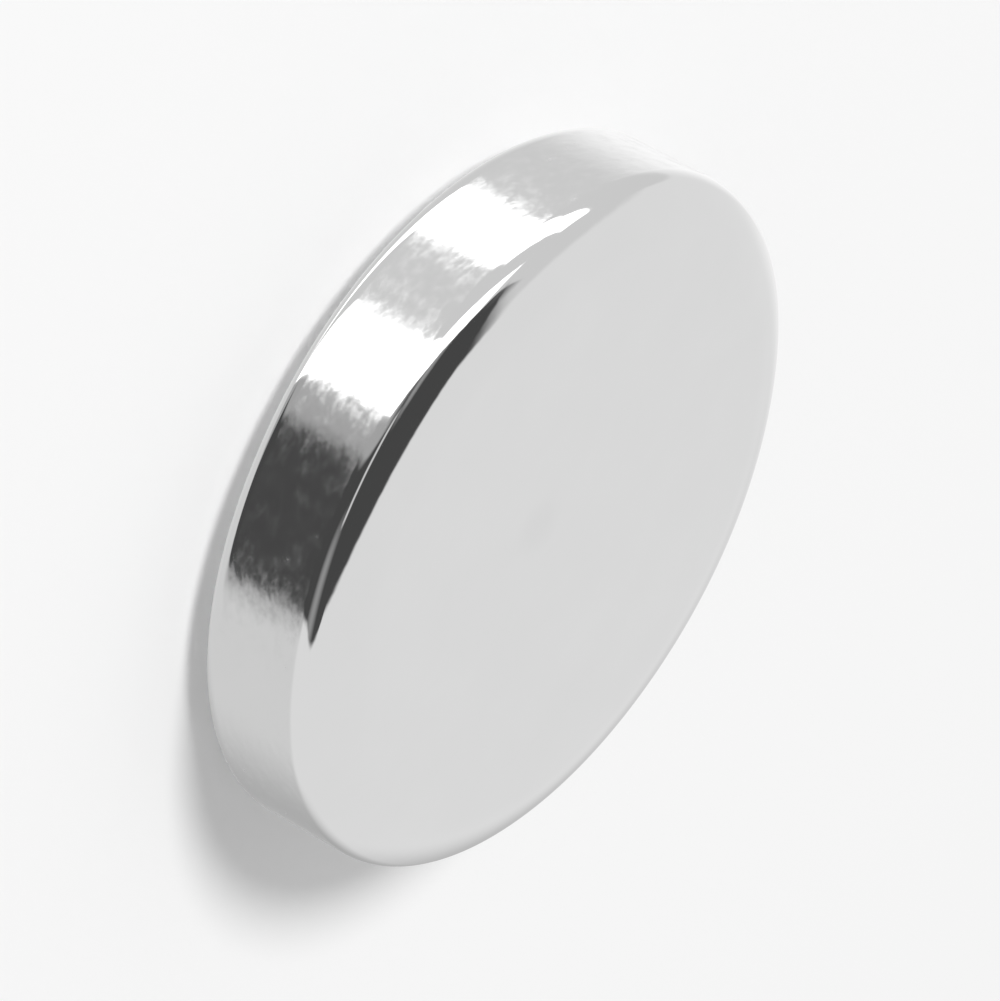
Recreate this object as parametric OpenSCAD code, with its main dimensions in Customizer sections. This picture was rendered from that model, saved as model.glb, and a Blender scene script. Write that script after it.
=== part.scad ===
// Disc magnet, in millimetres. A sintered disc is ground round on its rim, then tumbled, which
// wears each corner to a soft shoulder, and plated with nickel all over, so no corner is sharp.
// The disc lies on its back face: the origin is the middle of that face, and the axis is Z.

/* [Disc] */
// Diameter over the ground rim
disc_d = 18; // [8:0.5:60]
// Thickness from flat face to flat face
disc_t = 4; // [3:0.5:20]

/* [Worn edges] */
// How far the wear reaches from the rim in over each face
edge_in = 1.7; // [1.5:0.1:3]
// How far it reaches from each face along the rim
edge_down = 0.9; // [0.7:0.1:1.4]
// Radius of the tight arc next to the rim
corner_r = 0.5; // [0.2:0.1:0.6]

/* [Hidden] */
$fn = 180;

front = 1;
back = -1;
nickel = [0.83, 0.83, 0.84];
rim_r = disc_d / 2;
middle = [0, disc_t / 2];

// A worn edge is a tight arc off the rim and a wide one that runs out into the face. They share
// a tangent where they meet, so their centres are as far apart as their radii differ, which
// gives the radius of the wide one.
shoulder_r = (pow(edge_in - corner_r, 2) + pow(edge_down, 2) - pow(corner_r, 2))
    / (2 * (edge_down - corner_r));

// Points of the front edge, as distance from the axis and height
rim_end = [rim_r, disc_t - edge_down];
face_end = [rim_r - edge_in, disc_t];
corner_centre = rim_end - [corner_r, 0];
shoulder_centre = face_end - [0, shoulder_r];
meeting = shoulder_centre
    + (corner_centre - shoulder_centre) * shoulder_r / (shoulder_r - corner_r);

// The same point at the front face or at the back face
function at(side, point) = [point[0], middle[1] + side * (point[1] - middle[1])];

// The part of a circle that lies between two points of it, seen from the middle of the disc
module bulge(centre, radius, from, to) {
    intersection() {
        translate(centre)
            circle(radius);
        polygon([middle, middle + 2 * (from - middle), middle + 2 * (to - middle)]);
    }
}

module worn_edge(side) {
    bulge(at(side, corner_centre), corner_r, at(side, rim_end), at(side, meeting));
    bulge(at(side, shoulder_centre), shoulder_r, at(side, meeting), at(side, face_end));
}

// The straight-sided middle of the half section, which lies inside all four arcs
module core() {
    polygon([
        [0, 0],
        at(back, face_end),
        at(back, meeting),
        at(back, rim_end),
        rim_end,
        meeting,
        face_end,
        [0, disc_t]
    ]);
}

module disc_magnet() {
    color(nickel)
        rotate_extrude() {
            core();
            worn_edge(back);
            worn_edge(front);
        }
}

disc_magnet();
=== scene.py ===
# %% [markdown]
# # Disc magnet
#
# A small neodymium magnet: a flat disc of sintered metal, plated with bright nickel. The plating
# has no colour or pattern of its own, so nearly everything that is seen is a reflection. The
# lesson is therefore in three parts: a surface that is smooth enough to mirror a room without
# kinks, a finish that is a mirror on the faces and finely ground on the rim, and a studio that
# gives the metal something to reflect.
#
# The exact solid comes first, as a frame. Its box gives the size, and everything below is
# worked out from that size.

# %% Load the frame
import math

import bpy
import numpy as np
from mathutils import Matrix, Vector


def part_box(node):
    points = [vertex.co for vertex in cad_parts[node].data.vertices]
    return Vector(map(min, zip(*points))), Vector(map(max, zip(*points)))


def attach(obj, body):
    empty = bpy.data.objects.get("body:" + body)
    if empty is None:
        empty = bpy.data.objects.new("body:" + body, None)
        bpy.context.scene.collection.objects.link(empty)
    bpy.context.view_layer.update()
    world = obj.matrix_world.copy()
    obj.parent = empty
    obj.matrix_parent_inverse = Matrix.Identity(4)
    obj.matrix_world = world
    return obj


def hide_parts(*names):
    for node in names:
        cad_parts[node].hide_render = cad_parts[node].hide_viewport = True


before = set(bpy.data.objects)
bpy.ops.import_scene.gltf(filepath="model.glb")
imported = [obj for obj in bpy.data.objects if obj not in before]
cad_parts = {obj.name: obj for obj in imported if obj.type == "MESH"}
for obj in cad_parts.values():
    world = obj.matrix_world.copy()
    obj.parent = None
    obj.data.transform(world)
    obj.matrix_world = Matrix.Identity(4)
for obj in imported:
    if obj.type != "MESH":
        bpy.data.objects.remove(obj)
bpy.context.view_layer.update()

low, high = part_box("disc_magnet")
rim_radius = (high.x - low.x) / 2
thickness = high.z - low.z
print(f"disc {2000 * rim_radius:.2f} mm across and {1000 * thickness:.2f} mm thick")

# %% [markdown]
# ## The section of the worn edge
#
# Magnets are tumbled in a drum before plating, because plating is thin on a sharp corner. The
# wear leaves a tight arc next to the ground rim, and a much wider arc that runs out into the
# face. A bevel modifier would give one round arc, and a subdivided cylinder gives one that
# can't be measured. So the section is written down as what it is: two arcs that share a
# tangent where they meet.

# %% The section of the worn edge
EDGE_IN = 1.7e-3
EDGE_DOWN = 0.9e-3
CORNER_RADIUS = 0.5e-3


def shoulder_radius(reach_in, reach_down):
    """Radius of the wide arc. The centres of two arcs that touch inside one another are as far
    apart as their radii differ, and Pythagoras on that distance gives the wide radius."""
    across = reach_in - CORNER_RADIUS
    return (across**2 + reach_down**2 - CORNER_RADIUS**2) / (2 * (reach_down - CORNER_RADIUS))


def edge_point(lean, reach_in, reach_down):
    """Distance in from the rim and depth below the face, where the surface leans by an angle: 0 on
    the rim, a quarter turn on the face. An arc is its centre plus its radius times the direction
    of the lean, and the wide arc takes over where the lean points along both centres."""
    wide = shoulder_radius(reach_in, reach_down)
    meeting = np.arctan2(wide - reach_down, reach_in - CORNER_RADIUS)
    tight = lean <= meeting
    radius = np.where(tight, CORNER_RADIUS, wide)
    inward = np.where(tight, CORNER_RADIUS, reach_in) - radius * np.cos(lean)
    depth = np.where(tight, reach_down, wide) - radius * np.sin(lean)
    return inward, depth


print(f"the wide arc's radius is {1000 * shoulder_radius(EDGE_IN, EDGE_DOWN):.2f} mm")

# %% [markdown]
# ## Wear that isn't quite even
#
# A drum doesn't wear a disc evenly all round, and on bright metal a change of a few hundredths
# of a millimetre already bends a reflection. Noise would make it look dented. Real wear changes
# slowly, so a few slow waves around the axis are added to the two reaches of each edge. Each
# wave is a whole number of turns, so it meets itself without a seam.

# %% Uneven wear
WEAR_WAVES = {
    "front": ((2, 0.022, 0.4), (3, 0.014, 2.1), (7, 0.006, 4.0)),
    "back": ((2, 0.020, 3.0), (5, 0.012, 0.9), (8, 0.005, 5.2)),
}


def wear(azimuth, side):
    """One plus a sum of cosines, each with its own count around the axis, height and start."""
    waves = WEAR_WAVES[side]
    return 1 + sum(height * np.cos(count * azimuth + start) for count, height, start in waves)


# %% [markdown]
# ## The disc as one surface
#
# The skin is a profile carried once around the axis. Its two parameters are the direction
# around the axis and the place along the profile: over the back face, round the back edge, up
# the rim, round the front edge, and in over the front face. Rows lie closest together where
# the surface bends most, because a mirror shows the corner of each facet that it is made of.
# The whole grid is worked out as arrays, and the two poles close it.

# %% Revolve the profile
AROUND = 720
FACE_ROWS = 9
FACE_CROWDING = 0.7
EDGE_ROWS = 38
RIM_ROWS = 8


def profile_rows(azimuth):
    """Distance from the axis and height, one row for each place along the profile. A face row is
    a share of the face's radius, with the rows closer together near the edge. An edge row is one
    lean of the surface, and a rim row lies a share of the way from one edge to the other."""
    lean = np.linspace(0, math.pi / 2, EDGE_ROWS)[:, None]
    share = np.linspace(1, 0, FACE_ROWS + 1)[1:-1, None] ** FACE_CROWDING
    ends = {}
    for side in ("back", "front"):
        uneven = wear(azimuth, side)[None, :]
        inward, depth = edge_point(lean, EDGE_IN * uneven, EDGE_DOWN * uneven)
        face_radius = rim_radius - EDGE_IN * uneven
        radius = np.vstack([rim_radius - inward, share * face_radius])
        ends[side] = radius, np.vstack([depth, 0 * share * face_radius])
    back_radius, back_height = ends["back"]
    front_radius, front_depth = ends["front"]
    front_height = thickness - front_depth
    climb = np.linspace(0, 1, RIM_ROWS + 2)[1:-1, None]
    rim_height = back_height[:1] * (1 - climb) + front_height[:1] * climb
    radius = np.vstack([back_radius[::-1], 0 * rim_height + rim_radius, front_radius])
    height = np.vstack([back_height[::-1], rim_height, front_height])
    return radius, height


def revolve(name):
    """A closed mesh of the profile. Corner (row, column) stands at its distance from the axis,
    turned by its azimuth. The last two corners are the poles, in the middle of each face."""
    azimuth = np.arange(AROUND) * (2 * math.pi / AROUND)
    radius, height = profile_rows(azimuth)
    rows = radius.shape[0]
    grid = np.stack([radius * np.cos(azimuth), radius * np.sin(azimuth), height], axis=-1)
    poles = np.array([[0, 0, 0], [0, 0, thickness]])
    corners = np.vstack([grid.reshape(-1, 3), poles]) + np.array([0, 0, low.z])

    column = np.arange(AROUND)
    following = (column + 1) % AROUND
    first = np.arange(rows - 1)[:, None] * AROUND
    quads = np.stack(
        [first + column, first + following, first + AROUND + following, first + AROUND + column],
        axis=-1,
    ).reshape(-1, 4)
    back_pole = rows * AROUND
    top = (rows - 1) * AROUND
    back_fan = np.stack([0 * column + back_pole, following, column], axis=-1)
    front_fan = np.stack([0 * column + back_pole + 1, top + column, top + following], axis=-1)

    mesh = bpy.data.meshes.new(name)
    mesh.from_pydata(corners.tolist(), [], quads.tolist() + back_fan.tolist() + front_fan.tolist())
    mesh.polygons.foreach_set("use_smooth", np.ones(len(mesh.polygons), dtype=bool))
    mesh.update()
    piece = bpy.data.objects.new(name, mesh)
    bpy.context.scene.collection.objects.link(piece)
    return piece


skin = revolve("plated_disc")
print(f"{len(skin.data.vertices)} corners and {2 * len(skin.data.polygons)} triangles at most")

# %% [markdown]
# ## Shader sums as Python expressions
#
# A finish is a lot of arithmetic on a few patterns, and a node graph written call by call hides
# it. The class below wraps one socket. Adding, scaling or comparing two wrapped sockets adds
# the Math node and wraps its result, so a mask reads like the formula that it is. Any other
# node comes from one method, which sets the node up first and then feeds its sockets.

# %% A socket that can be used in sums


class Signal:
    """A number or a vector that flows out of a shader node."""

    def __init__(self, tree, socket):
        self.tree = tree
        self.socket = socket

    def node(self, kind, settings, inputs, output=0):
        """Another node in the same tree."""
        return add_node(self.tree, kind, settings, inputs, output)

    def math(self, operation, *values):
        """A Math node with the values in its sockets, in their order."""
        return self.node("ShaderNodeMath", {"operation": operation}, dict(enumerate(values)))

    def __add__(self, other):
        return self.math("ADD", self, other)

    def __radd__(self, other):
        return self.math("ADD", other, self)

    def __sub__(self, other):
        return self.math("SUBTRACT", self, other)

    def __rsub__(self, other):
        return self.math("SUBTRACT", other, self)

    def __mul__(self, other):
        return self.math("MULTIPLY", self, other)

    def __rmul__(self, other):
        return self.math("MULTIPLY", other, self)

    def __truediv__(self, other):
        return self.math("DIVIDE", self, other)

    def __abs__(self):
        return self.math("ABSOLUTE", self)

    def __neg__(self):
        return self.math("MULTIPLY", self, -1)

    def rises(self, start, end):
        """0 up to start and 1 from end on, with a smooth slope between."""
        return self.node(
            "ShaderNodeMapRange",
            {"interpolation_type": "SMOOTHSTEP"},
            {"Value": self, "From Min": start, "From Max": end},
        )

    def along(self, direction):
        """How far this vector reaches in a direction."""
        return self.node(
            "ShaderNodeVectorMath", {"operation": "DOT_PRODUCT"}, {0: self, 1: direction}, "Value"
        )

    def times(self, factors):
        """This vector with each of its axes scaled by its own factor."""
        return self.node("ShaderNodeVectorMath", {"operation": "MULTIPLY"}, {0: self, 1: factors})

    def shifted(self, step):
        """This vector with a fixed step added to it."""
        return self.node("ShaderNodeVectorMath", {"operation": "ADD"}, {0: self, 1: step})

    def length(self):
        """How long this vector is: the root of the sum of its squared axes."""
        return self.node("ShaderNodeVectorMath", {"operation": "LENGTH"}, {0: self}, "Value")


def add_node(tree, kind, settings, inputs, output=0):
    """A node of a kind. The settings are set before its sockets take their values or links."""
    node = tree.nodes.new(kind)
    for name, value in settings.items():
        setattr(node, name, value)
    for name, value in inputs.items():
        if isinstance(value, Signal):
            tree.links.new(value.socket, node.inputs[name])
        else:
            node.inputs[name].default_value = value
    return Signal(tree, node.outputs[output]) if node.outputs else None


def blank_tree(owner):
    """The owner's node tree with nothing in it."""
    owner.use_nodes = True
    owner.node_tree.nodes.clear()
    return owner.node_tree


# %% [markdown]
# ## The plating
#
# Nickel plating copies what is under it. The faces and the worn edges were polished by the
# drum, so they mirror the room. The rim was ground on a wheel, and the plating keeps the marks
# of the grit: short dashes that run round the rim, each a few micrometres deep. They hardly dull
# the metal, but they tear the edges of what it mirrors. So the rim gets a bump of stretched noise
# and a patchy roughness, and both end with the ground band. Object coordinates are in metres, and
# they are turned to millimetres here, so that every scale below is a real size.

# %% Where the rim is ground
MILLIMETRES = (1000.0, 1000.0, 1000.0)
RAGGED_BY = 0.06

plating = bpy.data.materials.new("nickel_plating")
tree = blank_tree(plating)
place = add_node(tree, "ShaderNodeTexCoord", {}, {}, "Object").times(MILLIMETRES)


def grain(size, stretch=1.0, detail=2.0, roughness=0.5):
    """Noise from 0 to 1 whose lumps are about size millimetres long. The stretch squeezes it along
    the disc's axis, so on the rim the lumps become dashes that run round it."""
    return add_node(
        tree,
        "ShaderNodeTexNoise",
        {"noise_dimensions": "3D"},
        {
            "Vector": place.times((1.0, 1.0, stretch)),
            "Scale": 1 / size,
            "Detail": detail,
            "Roughness": roughness,
        },
    )


half_height = 1000 * thickness / 2
half_band = half_height - 1000 * EDGE_DOWN
height_from_middle = abs(place.along((0.0, 0.0, 1.0)) - (1000 * low.z + half_height))
ragged = height_from_middle + RAGGED_BY * (grain(0.30, stretch=2.0) - 0.5)
ground = 1 - ragged.rises(half_band - 0.05, half_band + 0.03)
print(f"the ground band is {2 * half_band:.2f} mm of {2 * half_height:.2f} mm")

# %% [markdown]
# Four grains make up the relief: the grinding dashes, a finer grit inside them, the soft dents
# that tumbling leaves on the worn edges, and a very shallow orange peel that all bright plating
# has. Their heights are in micrometres, and the Bump node's distance is one metre, so the height
# that reaches it is a true height in metres. The grinding is rougher in some patches than in
# others, which is what mottles a dark reflection.

# %% Relief and roughness
MICROMETRE = 1e-6
DASH_HEIGHT = 7.0
GRIT_HEIGHT = 0.5
DENT_HEIGHT = 2.0
PEEL_HEIGHT = 0.8
POLISHED = 0.045
HAZE = 0.03
GROUND_ROUGHNESS = 0.07
PATCH_ROUGHNESS = 0.17

from_axis = place.times((1.0, 1.0, 0.0)).length()
face_radius = 1000 * (rim_radius - EDGE_IN)
shoulder = from_axis.rises(face_radius - 0.3, face_radius + 0.7) * (1 - ground)
dashes = grain(0.42, stretch=2.2, detail=1.0, roughness=0.4) - 0.5
grit = grain(0.09, stretch=2.0, detail=1.0) - 0.5
dents = grain(0.45, detail=1.0, roughness=0.4) - 0.5
peel = grain(1.1, detail=1.0) - 0.5
grinding = DASH_HEIGHT * dashes + GRIT_HEIGHT * grit
relief = ground * grinding + shoulder * (DENT_HEIGHT * dents) + PEEL_HEIGHT * peel
relief_normal = add_node(
    tree,
    "ShaderNodeBump",
    {},
    {"Strength": 1.0, "Distance": 1.0, "Height": relief * MICROMETRE},
    "Normal",
)
cloud = grain(2.4, detail=3.0, roughness=0.6)
haze = (cloud - 0.5) * HAZE
mottle = grain(0.40, stretch=1.6, detail=3.0, roughness=0.6)
patches = PATCH_ROUGHNESS * mottle.rises(0.35, 0.80)
roughness = POLISHED + haze + ground * (GROUND_ROUGHNESS + patches)

# %% [markdown]
# The colour is a neutral grey, the brightness of clean nickel. It varies by a percent or so
# where handling has left a film, and one faint smudge lies off the middle of the front face. A
# metal's Base Color is what it reflects head on, so nothing else is needed: no clear coat and no
# specular tint.

# %% The plating's shader
NICKEL = 0.78
FILM_DEPTH = 0.03
SMUDGE_DEPTH = 0.022

from_smudge = place.shifted((0.0, 1.5, -1000 * high.z)).length()
smudge = 1 - from_smudge.rises(0.2, 1.0)
film = NICKEL + (cloud - 0.5) * FILM_DEPTH - SMUDGE_DEPTH * smudge
shade = add_node(
    tree, "ShaderNodeCombineColor", {}, {"Red": film, "Green": film, "Blue": film}, "Color"
)
metal = add_node(
    tree,
    "ShaderNodeBsdfPrincipled",
    {},
    {"Base Color": shade, "Metallic": 1.0, "Roughness": roughness, "Normal": relief_normal},
)
add_node(tree, "ShaderNodeOutputMaterial", {}, {"Surface": metal})
skin.data.materials.append(plating)
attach(skin, "root")
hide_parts("disc_magnet")
print(f"the plating has {len(tree.nodes)} nodes")

# %% [markdown]
# ## The floor
#
# A pale matt sheet under the disc. It takes the shadow. The metal doesn't mirror it: to glossy
# rays the sheet is clear, so that they see the studio round it instead, as they do in a light
# tent, whose walls go on below a small table.

# %% Floor
FLOOR_RADIUS = 60 * rim_radius
FLOOR_CORNERS = 96
PAPER = (0.90, 0.90, 0.90, 1.0)

bpy.ops.mesh.primitive_circle_add(
    vertices=FLOOR_CORNERS, radius=FLOOR_RADIUS, fill_type="NGON", location=(0, 0, low.z)
)
floor = bpy.context.object
floor.name = "floor"
paper = bpy.data.materials.new("pale_paper")
paper_tree = blank_tree(paper)
matt = add_node(paper_tree, "ShaderNodeBsdfDiffuse", {}, {"Color": PAPER, "Roughness": 0.0})
clear = add_node(paper_tree, "ShaderNodeBsdfTransparent", {}, {})
ray = add_node(paper_tree, "ShaderNodeLightPath", {}, {}, "Is Glossy Ray")
sheet_shader = add_node(paper_tree, "ShaderNodeMixShader", {}, {0: ray, 1: matt, 2: clear})
add_node(paper_tree, "ShaderNodeOutputMaterial", {}, {"Surface": sheet_shader})
floor.data.materials.append(paper)

# %% [markdown]
# ## The studio that the metal mirrors
#
# Bright metal needs a bright room with something dark in it. A light tent has it: pale cloth on
# most sides, two long lamps overhead, and the dark room where the camera looks in. Cards and
# lamps could be placed round the disc, but they would stand in the way of a camera that goes
# round it. So the tent is drawn in the world instead, as a pattern of directions that only
# glossy rays see. It is laid out from three axes: up in the tent, along the lamps, and across
# them.

# %% The tent's axes
TENT_UP_AZIMUTH = math.radians(-137.1)
tent_up = Vector((math.cos(TENT_UP_AZIMUTH), math.sin(TENT_UP_AZIMUTH), 0))
tent_along = Vector((0, 0, 1))
tent_across = tent_up.cross(tent_along)

world = bpy.data.worlds.new("studio")
bpy.context.scene.world = world
world.cycles.sampling_method = "NONE"
world_tree = blank_tree(world)
direction = add_node(world_tree, "ShaderNodeTexCoord", {}, {}, "Generated")
up = direction.along(tent_up)
along = direction.along(tent_along)
across = direction.along(tent_across)

# %% [markdown]
# Overhead, a direction is best read as a spot on the ceiling, by dividing by how far up it points.
# There the two lamps are bands that end a little way along. Both lean away past the middle, so
# their reflections curve on the disc's shoulder. Beyond the near lamp the ceiling is in half
# shade, which turns dark along the lamp.

# %% Two lamps overhead
LAMP_LEAN = 0.75
FAR_OUT = -60.0

overhead = up.rises(0.02, 0.10)
safe_up = up.math("MAXIMUM", up, 0.02)
ceiling_along = along / safe_up
past_middle = ceiling_along.math("MAXIMUM", ceiling_along, 0.0)
ceiling_across = across / safe_up - LAMP_LEAN * past_middle


def band(start, end, soft):
    """1 between two lines on the ceiling, with soft edges."""
    past_start = ceiling_across.rises(start - soft, start + soft)
    past_end = ceiling_across.rises(end - soft, end + soft)
    return past_start * (1 - past_end)


near_lamp = overhead * band(-0.76, -0.20, 0.02) * (1 - ceiling_along.rises(1.3, 1.7))
far_lamp = overhead * band(0.34, 0.90, 0.03) * (1 - ceiling_along.rises(1.5, 1.9))
lamps = near_lamp + far_lamp
half_shade = up.rises(-0.02, 0.04) * band(FAR_OUT, -0.80, 0.04)
print(f"the ceiling takes {len(world_tree.nodes)} nodes")

# %% [markdown]
# Everything else in the tent is a card: a patch of directions that is lighter or darker than the
# cloth. A card is told by where its middle lies from the disc, and by how far it reaches to
# each side. Dividing by how far a direction points at the middle turns angles into a flat picture,
# in which the card is a rectangle. The last two are dim walls inside the dark side. A camera that
# goes round the disc sees them in its face, which would be black otherwise.

# %% Cards


def card(azimuth, elevation, half_width, half_height, soft):
    """1 inside a card and 0 outside, given in degrees. The sideways and upward parts of a
    direction, each over its part towards the middle, are compared with the tangents of the half
    angles."""
    turn, rise = math.radians(azimuth), math.radians(elevation)
    bearing = Vector((math.cos(turn), math.sin(turn), 0))
    middle = bearing * math.cos(rise) + tent_along * math.sin(rise)
    sideways = tent_along.cross(bearing)
    upward = middle.cross(sideways)
    towards = direction.along(middle)
    depth = towards.math("MAXIMUM", towards, 0.05)
    inside = towards.rises(0.0, 0.1)
    for axis, half_angle in ((sideways, half_width), (upward, half_height)):
        offset = abs(direction.along(axis)) / depth
        nearer, farther = half_angle - soft, half_angle + soft
        edges = math.tan(math.radians(max(nearer, 0))), math.tan(math.radians(farther))
        inside = inside * (1 - offset.rises(*edges))
    return inside


under_shadow = card(62, -22, 22, 16, 22)
lit_corner = card(112, -24, 18, 16, 16)
glint = card(-84, 26, 17, 4, 3)
dim_wall = card(-34, 18, 30, 14, 14)
side_wall = card(-126, 37, 20, 9, 9)

# %% [markdown]
# The opening is the tent's dark side. It lies between two limits that change with how squarely a
# direction faces it, measured level with the ground. The upper one is the ceiling cloth, which
# hangs lower at one end. The lower one is the table's edge. It slants down towards the middle of
# the opening, steeply at first, to a lowest level that drops from one side of the middle to the
# other. Where the two limits meet, the opening ends. The half shade ends far along, where a
# direction turns away from the opening.

# %% The dark opening
OPENING_AZIMUTH = math.radians(-70)
SLANT_START = 0.07
SLANT = 0.60
STEEP_START = 0.16
STEEP_SLANT = 1.45
LOWEST_START = -0.19
LOWEST_DROP = 0.19
CLOTH_START = 0.30
CLOTH_RISE = 0.34
CLOTH_TILT = 0.165

opening_middle = tent_along * math.cos(OPENING_AZIMUTH) + tent_across * math.sin(OPENING_AZIMUTH)
beside_middle = tent_across * math.cos(OPENING_AZIMUTH) - tent_along * math.sin(OPENING_AZIMUTH)
level_part = up.math("SQRT", 1.0001 - up * up)
facing = direction.along(opening_middle) / level_part
aside = direction.along(beside_middle) / level_part

slanted_edge = SLANT_START - SLANT * facing
steep_edge = STEEP_START - STEEP_SLANT * facing
lowest_edge = LOWEST_START - LOWEST_DROP * aside.rises(-0.40, 0.50)
lower_limit = slanted_edge.math("MAXIMUM", slanted_edge, lowest_edge)
lower_limit = lower_limit.math("MAXIMUM", lower_limit, steep_edge)
cloth_rise = CLOTH_RISE + CLOTH_TILT * (along / level_part)
upper_limit = CLOTH_START + cloth_rise * facing.rises(-0.05, 0.60)
above = (up - lower_limit).rises(-0.03, 0.03)
below = (upper_limit - up).rises(-0.04, 0.04)
opening = above * below

turned_away = ceiling_along.rises(2.0, 5.0) * (1 - facing.rises(-0.14, 0.06))
half_shade = half_shade * (1 - turned_away)
print(f"the opening faces {math.degrees(OPENING_AZIMUTH):.0f} degrees from the lamps' direction")

# %% [markdown]
# The levels are what the metal's tones need: pale cloth a little under white, lamps over white, and
# the opening almost black. The table is dimmer beside the opening. The masks are laid over one
# another like sheets of paper, so the last one wins. Glossy rays see the tent, the camera would
# see plain white past the floor, and everything matt is lit by an even light.

# %% Levels of light
CLOTH = 0.87
TABLE = 0.76
TABLE_EDGE = 0.50
CEILING = 0.74
UNDER_SHADOW = 0.45
LIT_CORNER = 1.1
HALF_SHADE = 0.45
LAMP = 2.2
OPENING = 0.072
GLINT = 0.75
DIM_WALL = 0.34
SIDE_WALL = 0.36
EVEN_LIGHT = 0.57


def laid_over(lower, upper, mask):
    """The upper level where the mask is 1, the lower where it is 0."""
    return lower + mask * (upper - lower)


beside_opening = up.rises(-0.34, -0.18) * facing.rises(0.2, 0.6)
table_level = laid_over(TABLE, TABLE_EDGE, beside_opening)
cloth = laid_over(CLOTH, table_level, (-along).rises(0.2, 0.45))
cloth = laid_over(cloth, CEILING, overhead)
cloth = laid_over(cloth, UNDER_SHADOW, under_shadow)
cloth = laid_over(cloth, LIT_CORNER, lit_corner)
shade_level = laid_over(HALF_SHADE, OPENING, ceiling_along.rises(0.1, 0.6))
cloth = laid_over(cloth, shade_level, half_shade)
cloth = laid_over(cloth, LAMP, lamps)
lit_tent = laid_over(cloth, laid_over(OPENING, GLINT, glint), opening)
walls = DIM_WALL * dim_wall + SIDE_WALL * side_wall
tent = lit_tent.math("MAXIMUM", lit_tent, walls)
glossy = add_node(world_tree, "ShaderNodeLightPath", {}, {}, "Is Glossy Ray")
camera_ray = add_node(world_tree, "ShaderNodeLightPath", {}, {}, "Is Camera Ray")
brightness = laid_over(laid_over(EVEN_LIGHT, 1.0, camera_ray), tent, glossy)
background = add_node(
    world_tree,
    "ShaderNodeBackground",
    {},
    {"Color": (1.0, 1.0, 1.0, 1.0), "Strength": brightness},
)
add_node(world_tree, "ShaderNodeOutputWorld", {}, {"Surface": background})
print(f"the studio has {len(world_tree.nodes)} nodes")

# %% [markdown]
# ## The key lamp
#
# One large soft lamp gives the disc its shadow. It isn't mirrored, because the tent already shows
# the metal its lamps. Its power is worked out, not tried: a lamp of P watts at a distance d lights
# a white floor to P times the sine of its height, over pi squared times d squared.

# %% Key lamp
KEY_LIGHT = 0.48
KEY_DISTANCE = 1.5
KEY_SIZE = 0.48
KEY_HEIGHT = math.radians(42)
key_data = bpy.data.lights.new("key", "AREA")
key_data.shape = "DISK"
key_data.size = KEY_SIZE
key_data.energy = KEY_LIGHT * math.pi**2 * KEY_DISTANCE**2 / math.sin(KEY_HEIGHT)
key = bpy.data.objects.new("key", key_data)
bpy.context.scene.collection.objects.link(key)
towards_key = tent_up * math.cos(KEY_HEIGHT) + Vector((0, 0, 1)) * math.sin(KEY_HEIGHT)
key.location = towards_key * KEY_DISTANCE
key.rotation_mode = "QUATERNION"
key.rotation_quaternion = towards_key.to_track_quat("Z", "Y")
key.visible_glossy = False
print(f"key lamp {key_data.energy:.2f} W")

# %% [markdown]
# ## The camera
#
# The camera stands where the photograph's camera stood, in the disc's own terms: its bearing round
# the axis, its height over the face, its distance in radii, and the way the axis points in the
# picture. The disc is brought to the middle by turning the camera, and drawn larger by a
# longer lens. Neither changes the perspective. The lens is worked out on the longer side of the
# picture, because that is the side that the sensor's width is laid along.

# %% Camera
VIEW_AZIMUTH = math.radians(-94.1)
VIEW_ELEVATION = math.radians(27.05)
VIEW_DISTANCE = 19.36
AXIS_IN_PICTURE = math.radians(28.6)
RADIUS_IN_PIXELS = 385
LONGER_SIDE = 1001

face_middle = Vector((0, 0, high.z))
towards_camera = Vector(
    (
        math.cos(VIEW_ELEVATION) * math.cos(VIEW_AZIMUTH),
        math.cos(VIEW_ELEVATION) * math.sin(VIEW_AZIMUTH),
        math.sin(VIEW_ELEVATION),
    )
)
camera_place = face_middle + towards_camera * (VIEW_DISTANCE * rim_radius)
aim = Vector((0, 0, (low.z + high.z) / 2))
forward = (aim - camera_place).normalized()
axis_across = (Vector((0, 0, 1)) - forward * forward.z).normalized()
beside_axis = forward.cross(axis_across)
right = axis_across * math.cos(AXIS_IN_PICTURE) - beside_axis * math.sin(AXIS_IN_PICTURE)
downward = axis_across * math.sin(AXIS_IN_PICTURE) + beside_axis * math.cos(AXIS_IN_PICTURE)

camera_data = bpy.data.cameras.new("camera")
camera_data.sensor_width = 36.0
camera_data.lens = camera_data.sensor_width * RADIUS_IN_PIXELS * VIEW_DISTANCE / LONGER_SIDE
camera_data.clip_start = 0.01
camera_data.clip_end = 10.0
camera = bpy.data.objects.new("camera", camera_data)
bpy.context.scene.collection.objects.link(camera)
axes = Matrix((right, -downward, -forward)).transposed()
camera.matrix_world = Matrix.Translation(camera_place) @ axes.to_4x4()
bpy.context.scene.camera = camera
bpy.context.scene.view_settings.view_transform = "Standard"
print(f"lens {camera_data.lens:.0f} mm, {1000 * (camera_place - aim).length:.0f} mm from the disc")
